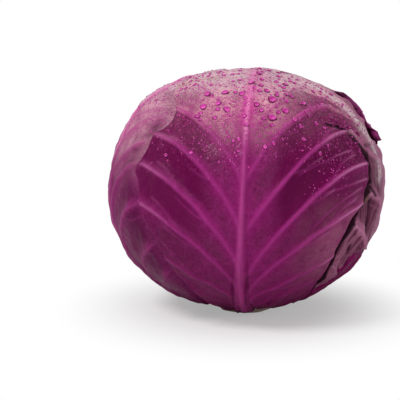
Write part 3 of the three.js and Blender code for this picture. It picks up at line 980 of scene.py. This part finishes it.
class Finish(Nodes):
    """A material round one shader, with the patterns that the finishes are made of."""

    def __init__(self, name, **constants):
        self.material = bpy.data.materials.new(name)
        self.material.use_nodes = True
        super().__init__(self.material.node_tree)
        self.shader = self.tree.nodes["Principled BSDF"]
        for socket, value in constants.items():
            self.shader.inputs[socket.replace("_", " ")].default_value = value

    def show(self, **wires):
        """Feeds the shader's sockets, named with _ for a space."""
        for socket, wire in wires.items():
            self.feed("Principled BSDF", socket.replace("_", " "), wire)

    def place(self):
        return self.node("ShaderNodeTexCoord", output="Object")

    def mark(self, name):
        return self.node("ShaderNodeAttribute", {"attribute_name": name}, None, "Fac")

    def noise(self, size, detail=2.0, roughness=0.5):
        """Soft noise with lumps of about `size` metres."""
        sockets = {"Vector": self.place(), "Scale": 1.0 / size, "Detail": detail, "Roughness": roughness}
        return self.node("ShaderNodeTexNoise", None, sockets, "Fac")

    def net(self, size, width):
        """1 on the lines of a net with meshes of about `size` metres, falling to 0 over a share of a mesh."""
        bent = self.node("ShaderNodeTexNoise", None, {"Vector": self.place(), "Scale": 0.6 / size}, "Color")
        moved = self.node("ShaderNodeVectorMath", {"operation": "SCALE"}, {0: bent, "Scale": 0.9 * size})
        where = self.node("ShaderNodeVectorMath", {"operation": "ADD"}, {0: self.place(), 1: moved})
        sockets = {"Vector": where, "Scale": 1.0 / size}
        edge = self.node("ShaderNodeTexVoronoi", {"feature": "DISTANCE_TO_EDGE"}, sockets, "Distance")
        return self.step(edge, width, 0.0)

    def dots(self, size, outer, inner):
        """Round dots of uneven width, one to each cell of about `size` metres."""
        sockets = {"Vector": self.place(), "Scale": 1.0 / size}
        return self.step(self.node("ShaderNodeTexVoronoi", None, sockets, "Distance"), outer, inner)

    def step(self, value, low, high):
        sockets = {"Value": value, "From Min": low, "From Max": high}
        return self.node("ShaderNodeMapRange", {"interpolation_type": "SMOOTHSTEP"}, sockets)

    def mix(self, factor, first, second):
        return self.node("ShaderNodeMix", {"data_type": "RGBA"}, {0: factor, 6: first, 7: second}, 2)

    def layers(self, colour, *coats):
        """A colour under coats, each an amount and a colour, in the order in which they are laid on."""
        for amount, coat in coats:
            colour = self.mix(amount, colour, coat)
        return colour

    def bump(self, height, strength, distance):
        sockets = {"Height": height, "Strength": strength, "Distance": distance}
        self.show(Normal=self.node("ShaderNodeBump", None, sockets))


def leaf_finish(name, lamina, deep, glow, vein, rib, bloom, mist, rosy, network=0.12):
    """Waxy leaf skin: mottled purple, brighter round the veins and pink along them, with a pale bloom on top
    that is spotted with fine mist drops. It is near black-red in the folds, its own deeper colour with
    painted shade over it, and painted shade also darkens the gaps, the grooves of the rib, and the leaf low
    down and to the right. A painted highlight lies on the vein crests, and the inner face is a brighter
    magenta, partly its own colour and partly painted light on a face in shade."""
    skin = Finish(name, Specular_IOR_Level=0.04, Coat_Roughness=0.25)
    fold, veined, near, ribbed = (skin.mark(mark) for mark in ("fold", "vein", "near", "rib"))
    edge, dusty, waxed, olive = (skin.mark(mark) for mark in ("edge", "bloom", "wax", "olive"))
    crest, strand, gap = (skin.mark(mark) for mark in ("crest", "strand", "gap"))
    patches = skin.noise(0.024, 3.0, 0.6)
    grain = skin.noise(0.0012, 2.0, 0.6)
    speckle = skin.noise(0.0007, 1.0, 0.5)
    coarse, fine = skin.net(0.0068, 0.12), skin.net(0.0024, 0.18)
    # Folds: painted shade over the leaf's own deeper colour; the bloom thins there as well.
    shade = skin.step(fold, 0.1, 0.85)
    worn = skin.step(skin.noise(0.011, 4.0, 0.7), 0.34, 0.6)
    film = dusty * (0.4 + 0.6 * worn) * (1.0 - 0.85 * shade) * (1.0 - 0.8 * near)
    film = film * (0.72 + 0.4 * skin.step(speckle, 0.35, 0.65))
    drops = skin.dots(0.0021, 0.36, 0.2) + skin.dots(0.0011, 0.4, 0.22) * 0.7
    right, height = (skin.node("ShaderNodeSeparateXYZ", None, {0: skin.place()}, axis) for axis in "XZ")
    wet = drops * skin.step(height, 0.088, 0.13) * (0.5 + 0.5 * skin.step(dusty, 0.3, 0.8))
    crust = waxed * skin.step(skin.noise(0.0024, 3.0, 0.7), 0.3, 0.56) * (1.0 - 0.75 * near)
    frost = skin.dots(0.0017, 0.32, 0.15) * skin.step(height, 0.128, 0.152)
    shadowed = skin.step(height, 0.062, 0.0) * (0.6 + 0.55 * skin.step(right, 0.02, 0.06))
    colour = skin.layers(
        lamina,
        (skin.step(patches, 0.36, 0.7) * 0.55, glow),
        (near * 0.95, skin.mix(skin.step(dusty, 0.3, 0.9), glow, rosy)),
        (skin.step(grain, 0.48, 0.68) * (0.75 - 0.45 * near), deep),
        (skin.step(skin.noise(0.005, 3.0, 0.7), 0.5, 0.72) * 0.25, vein),
        ((coarse + fine * 0.5) * network, vein),
        # painted shade in the folds
        (shade * 0.92, deep),
        (film, bloom),
        (wet * 0.8, mist),
        (crust * 0.95, srgb(228, 204, 210)),
        (frost * 0.6, srgb(238, 208, 224)),
        (olive * skin.step(patches, 0.3, 0.55) * 0.5, srgb(168, 152, 112)),
        (veined * 0.8, vein),
        (ribbed * 0.85, skin.mix(skin.step(dusty, 0.1, 0.5), rib, srgb(250, 146, 204))),
        # painted highlight on the vein crests
        (crest * 0.85, srgb(208, 134, 178)),
        # painted shade in the grooves of the rib
        (strand * 0.5, deep),
        (shadowed, deep),
        # painted shade in the gaps under other leaves and in deep creases
        (gap * 0.95, srgb(34, 3, 20)),
        # The inner face in a brighter magenta: partly its own colour, partly painted light on a face in shade.
        (skin.mark("inward") * 0.8, srgb(158, 52, 128)),
        (skin.step(edge, 0.055, 0.0) * 0.45, vein),
    )
    skin.show(Base_Color=colour, Roughness=0.42 + 0.2 * film - 0.25 * wet, Coat_Weight=0.5 * wet)
    skin.bump(0.4 * coarse + 0.25 * fine + 0.5 * grain + 0.6 * wet + 0.5 * patches, 0.4, 0.0006)
    return skin.material


def stem_finish():
    """Cut stalk: a pale pith, a woody ring near the skin, a dull purple skin and fine fibres."""
    stalk = Finish("cut_stalk", Roughness=0.7, Specular_IOR_Level=0.3)
    x, y = (stalk.node("ShaderNodeSeparateXYZ", None, {0: stalk.place()}, axis) for axis in "XY")
    off = stalk.node("ShaderNodeMath", {"operation": "SQRT"}, {0: x * x + y * y})
    ring = stalk.step(off, 0.0105, 0.0125) * stalk.step(off, 0.0155, 0.0138)
    bark = stalk.step(off, 0.0150, 0.0166)
    fibres = stalk.noise(0.0011, 2.0, 0.7)
    colour = stalk.layers(
        srgb(232, 224, 190),
        (stalk.noise(0.006, 3.0), srgb(214, 204, 160)),
        (ring * 0.6, srgb(188, 176, 120)),
        (stalk.step(fibres, 0.5, 0.75) * 0.35, srgb(176, 160, 116)),
        (bark * 0.8, srgb(150, 120, 120)),
    )
    stalk.show(Base_Color=colour)
    stalk.bump(fibres + ring, 0.4, 0.0005)
    return stalk.material


def drop_finish():
    """Water on the leaf: it gathers the leaf's colour, has painted light on the side away from the light, a
    painted shadow round its foot, a pale painted highlight uphill, and a clear gloss."""
    water = Finish("water", Roughness=0.08, Specular_IOR_Level=0.22)
    low, top, rim, tone = (water.mark(mark) for mark in ("low", "top", "rim", "tone"))
    # Painted light where light through the drop would gather, downhill and away from the light.
    glow = water.step(low, 0.5, 0.85) * water.step(rim, 1.0, 0.7)
    # Painted highlight along the uphill edge.
    painted_highlight = water.step(top, 0.5, 0.75) * water.step(top, 0.98, 0.86)
    colour = water.layers(
        srgb(168, 22, 122),
        (tone, srgb(204, 44, 156)),
        (glow * 0.9, srgb(250, 96, 204)),
        (painted_highlight * 0.7, srgb(230, 140, 200)),
        # Painted shadow round the drop's edge and its skirt, where it meets the leaf.
        (water.step(rim, 0.78, 1.02) * 0.95, srgb(88, 0, 56)),
    )
    water.show(Base_Color=colour)
    return water.material


# ---------------------------------------------------------------- room
def paint(piece, material):
    piece.data.materials.clear()
    piece.data.materials.append(material)


def make_floor():
    """A pale floor that fades to plain white away from the head, and keeps the head's shadow near it."""
    side = 3.0
    mesh = bpy.data.meshes.new("floor")
    corners = [(-side, -side, 0), (side, -side, 0), (side, side, 0), (-side, side, 0)]
    mesh.from_pydata(corners, [], [(0, 1, 2, 3)])
    floor = add_object("floor", mesh)
    pale = Finish("pale_floor", Roughness=0.9, Specular_IOR_Level=0.1)
    pale.shader.inputs["Base Color"].default_value = (0.93, 0.93, 0.93, 1.0)
    off = pale.node("ShaderNodeVectorMath", {"operation": "LENGTH"}, {0: pale.place()}, "Value")
    far = pale.step(off, 0.045, 0.135)
    seen = pale.node("ShaderNodeLightPath", output="Is Camera Ray")
    white = pale.node("ShaderNodeEmission", None, {"Color": (1.0, 1.0, 1.0, 1.0), "Strength": 1.0})
    lit = Wire(pale, pale.shader.outputs[0])
    both = pale.node("ShaderNodeMixShader", None, {0: (0.35 + 0.65 * far) * seen, 1: lit, 2: white})
    pale.feed("Material Output", "Surface", both)
    paint(floor, pale.material)


def make_world(level):
    """White to the camera and in reflections, and a plain soft light from all round."""
    world = bpy.data.worlds.new("studio")
    world.use_nodes = True
    bpy.context.scene.world = world
    sky = Nodes(world.node_tree)
    rays = ("Is Camera Ray", "Is Glossy Ray", "Is Transmission Ray")
    seen, glossy, through = (sky.node("ShaderNodeLightPath", output=ray) for ray in rays)
    clear = seen.math("MAXIMUM", seen.math("MAXIMUM", seen, glossy), through)
    sky.tree.nodes["Background"].inputs["Color"].default_value = (1.0, 1.0, 1.0, 1.0)
    sockets = {"Value": clear, "To Min": level, "To Max": 1.0}
    sky.feed("Background", "Strength", sky.node("ShaderNodeMapRange", None, sockets))


def make_lamp(name, place, size, power):
    lamp = bpy.data.lights.new(name, "AREA")
    lamp.shape = "DISK"
    lamp.size = size
    lamp.energy = power
    holder = add_object(name, lamp)
    holder.location = place
    towards_head = Vector(MIDDLE * 0.001) - Vector(place)
    holder.rotation_euler = towards_head.to_track_quat("-Z", "Y").to_euler()


def make_camera():
    """A long lens a little above the head, which stands right of the middle of the frame."""
    elevation = math.radians(9.0)
    distance = 0.728
    aside, below = 0.0301, 0.0079  # how far left of and under the middle of the head it aims
    ahead = np.array([0.0, math.cos(elevation), -math.sin(elevation)])
    above = np.array([0.0, math.sin(elevation), math.cos(elevation)])
    aim = MIDDLE * 0.001 - np.array([aside, 0.0, 0.0]) - below * above
    data = bpy.data.cameras.new("camera")
    data.lens = 100.0
    data.sensor_width = 36.0
    camera = add_object("camera", data)
    camera.location = Vector(aim - ahead * distance)
    camera.rotation_euler = Vector(ahead).to_track_quat("-Z", "Y").to_euler()
    bpy.context.scene.camera = camera


# ---------------------------------------------------------------- the scene
LEAF_COLOURS = {  # lamina, deep, glow, vein, rib, bloom, mist, and rosy for the glow where it is under bloom
    "front_leaf": ((108, 36, 78), (96, 4, 64), (140, 24, 102), (170, 54, 134), (186, 70, 144),
                   (234, 162, 182), (172, 22, 118), (240, 52, 178)),
    "back_right_leaf": ((112, 32, 84), (80, 8, 56), (132, 30, 100), (162, 62, 126), (180, 90, 144),
                        (196, 130, 156), (164, 30, 116), (186, 74, 144)),
    "left_leaf": ((112, 36, 82), (80, 8, 56), (136, 32, 102), (162, 62, 126), (178, 84, 142),
                  (224, 164, 184), (168, 36, 120), (208, 84, 160)),
    "right_leaf": ((150, 84, 114), (92, 38, 64), (186, 120, 152), (186, 112, 152), (188, 118, 156),
                   (188, 130, 152), (166, 44, 120), (186, 100, 150)),
    "back_left_leaf": ((112, 32, 84), (80, 8, 56), (132, 30, 100), (162, 62, 126), (180, 90, 144),
                       (200, 134, 160), (164, 30, 116), (190, 78, 146)),
    "front_right_inner_leaf": ((126, 16, 84), (92, 6, 60), (136, 22, 94), (150, 40, 108), (170, 62, 126),
                               (140, 60, 108), (150, 50, 114), (150, 50, 114)),
    "front_left_inner_leaf": ((118, 20, 82), (92, 8, 62), (128, 26, 92), (152, 44, 112), (170, 66, 128),
                              (142, 62, 110), (150, 52, 116), (150, 52, 116)),
}


def main():
    make_camera()
    finishes = {
        name: leaf_finish(name + "_skin", *(srgb(*colour) for colour in colours))
        for name, colours in LEAF_COLOURS.items()
    }
    surfaces = {}
    for index, leaf in enumerate(LEAVES):
        piece, surfaces[leaf["name"]] = leaf_piece(index)
        paint(piece, finishes[leaf["name"]])
    paint(inner_head_piece(), finishes["front_left_inner_leaf"])
    paint(stem_piece(), stem_finish())
    wet = drop_finish()
    for drops in rain(surfaces):
        paint(drops, wet)
    make_floor()
    make_world(level=0.36)
    make_lamp("key", (-0.75, -0.6, 1.15), size=0.55, power=11.0)
    make_lamp("fill", (0.9, -0.9, 0.45), size=0.7, power=3.2)
    bpy.context.scene.view_settings.view_transform = "Standard"


main()
